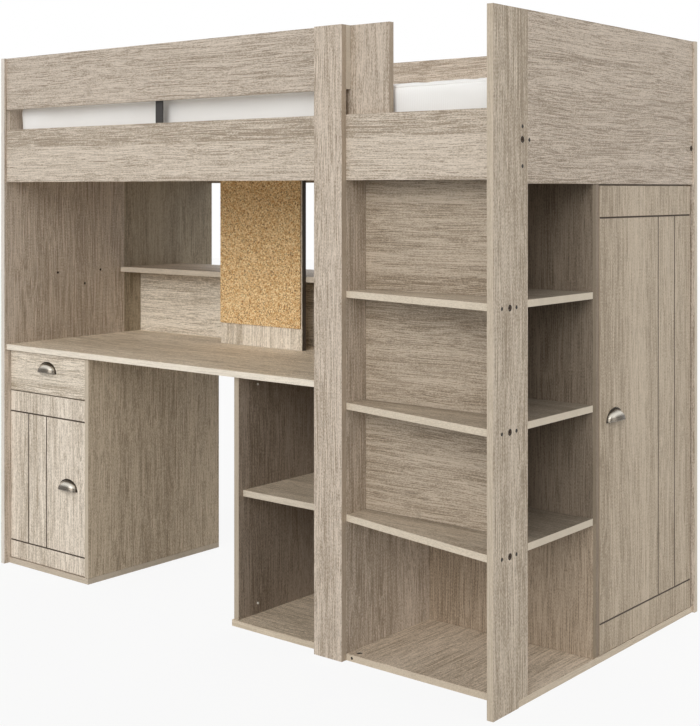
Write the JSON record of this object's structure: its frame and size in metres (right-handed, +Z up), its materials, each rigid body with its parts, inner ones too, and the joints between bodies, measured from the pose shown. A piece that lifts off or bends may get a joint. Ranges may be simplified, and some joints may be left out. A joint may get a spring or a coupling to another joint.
{
  "type": "loft bed with desk and wardrobe",
  "caption": "High single bed of wood-effect boards over a desk with drawer pedestal, cork board and bookcase, with step shelves, end shelves and a wardrobe at the right end.",
  "frame": {"origin": "on the floor, under the middle of the bed's bounding box", "axes": "+Z up, -Y out of the long front where the desk is used, +X out of the end with the wardrobe door"},
  "size_m": [2.0728, 1.085, 1.7],
  "materials": {
    "oak_board": "grey-beige oak-effect melamine, satin",
    "oak_front": "grey-beige oak-effect melamine, satin, light",
    "cork": "granulated cork, matt",
    "nickel": "brushed nickel",
    "zinc_steel": "zinc-plated steel",
    "black_steel": "black painted steel",
    "ticking": "white cotton ticking",
    "pine": "planed pine, bare",
    "birch_ply": "pale drawer-side board, satin"
  },
  "bodies": {
    "frame": {"left_end_front_board": "oak_board", "left_end_rear_board": "oak_board", "front_post": "oak_front", "rear_post": "oak_board", "right_end_front_board": "oak_front", "headboard": "oak_board", "front_guard_rail": "oak_front", "front_lower_rail": "oak_front", "rear_guard_rail": "oak_board", "rear_lower_rail": "oak_board", "front_bearer_rail": "oak_board", "entry_board": "oak_board", "guard_connector_bar": "black_steel", "front_slat_cleat": "pine", "rear_slat_cleat": "pine", "slat_roll": "pine", "mattress": "ticking", "tower_base_board": "oak_board", "ladder_left_wall": "oak_board", "wardrobe_left_side": "oak_board", "bookcase_side_board": "oak_board", "wardrobe_side_board": "oak_board", "wardrobe_rear_board": "oak_board", "wardrobe_top_board": "oak_board", "step_shelf_lower": "oak_board", "step_shelf_middle": "oak_board", "step_shelf_upper": "oak_board", "ladder_back_panel": "oak_board", "end_back_wall": "oak_board", "hanging_rail": "zinc_steel", "desk_top": "oak_front", "desk_back_panel": "oak_board", "rear_shelf": "oak_board", "cork_backing_board": "oak_board", "cork_sheet": "cork", "bookcase_base": "oak_board", "bookcase_left_side": "oak_board", "bookcase_back_panel": "oak_board", "bookcase_shelf": "oak_board", "pedestal_base": "oak_board", "pedestal_right_side": "oak_board", "pedestal_back_panel": "oak_board", "pedestal_divider": "oak_board", "pedestal_hinge_arm_lower": "zinc_steel", "pedestal_hinge_arm_upper": "zinc_steel", "wardrobe_hinge_arm_lower": "zinc_steel", "wardrobe_hinge_arm_upper": "zinc_steel", "drawer_runner_left": "zinc_steel", "drawer_runner_right": "zinc_steel"},
    "pedestal_door": {"pedestal_door": "oak_front", "pedestal_door_pull": "nickel", "pedestal_hinge_cup_lower": "zinc_steel", "pedestal_hinge_cup_upper": "zinc_steel"},
    "wardrobe_door": {"wardrobe_door": "oak_front", "wardrobe_door_pull": "nickel", "wardrobe_hinge_cup_lower": "zinc_steel", "wardrobe_hinge_cup_upper": "zinc_steel"},
    "drawer": {"drawer_front": "oak_front", "drawer_pull": "nickel", "drawer_box": "birch_ply"}
  },
  "joints": [
    {"name": "pedestal_door_hinge", "type": "hinge", "parent": "frame", "child": "pedestal_door", "pos_m": [-1.01665, -0.4205, 0.3005], "axis": [0, 0, -1], "range_deg": [0, 90]},
    {"name": "wardrobe_door_hinge", "type": "hinge", "parent": "frame", "child": "wardrobe_door", "pos_m": [1.01135, 0.511, 0.6445], "axis": [0, 0, 1], "range_deg": [0, 110]},
    {"name": "drawer_slide", "type": "slide", "parent": "frame", "child": "drawer", "axis": [0, -1, 0], "range_m": [0, 0.38]}
  ]
}
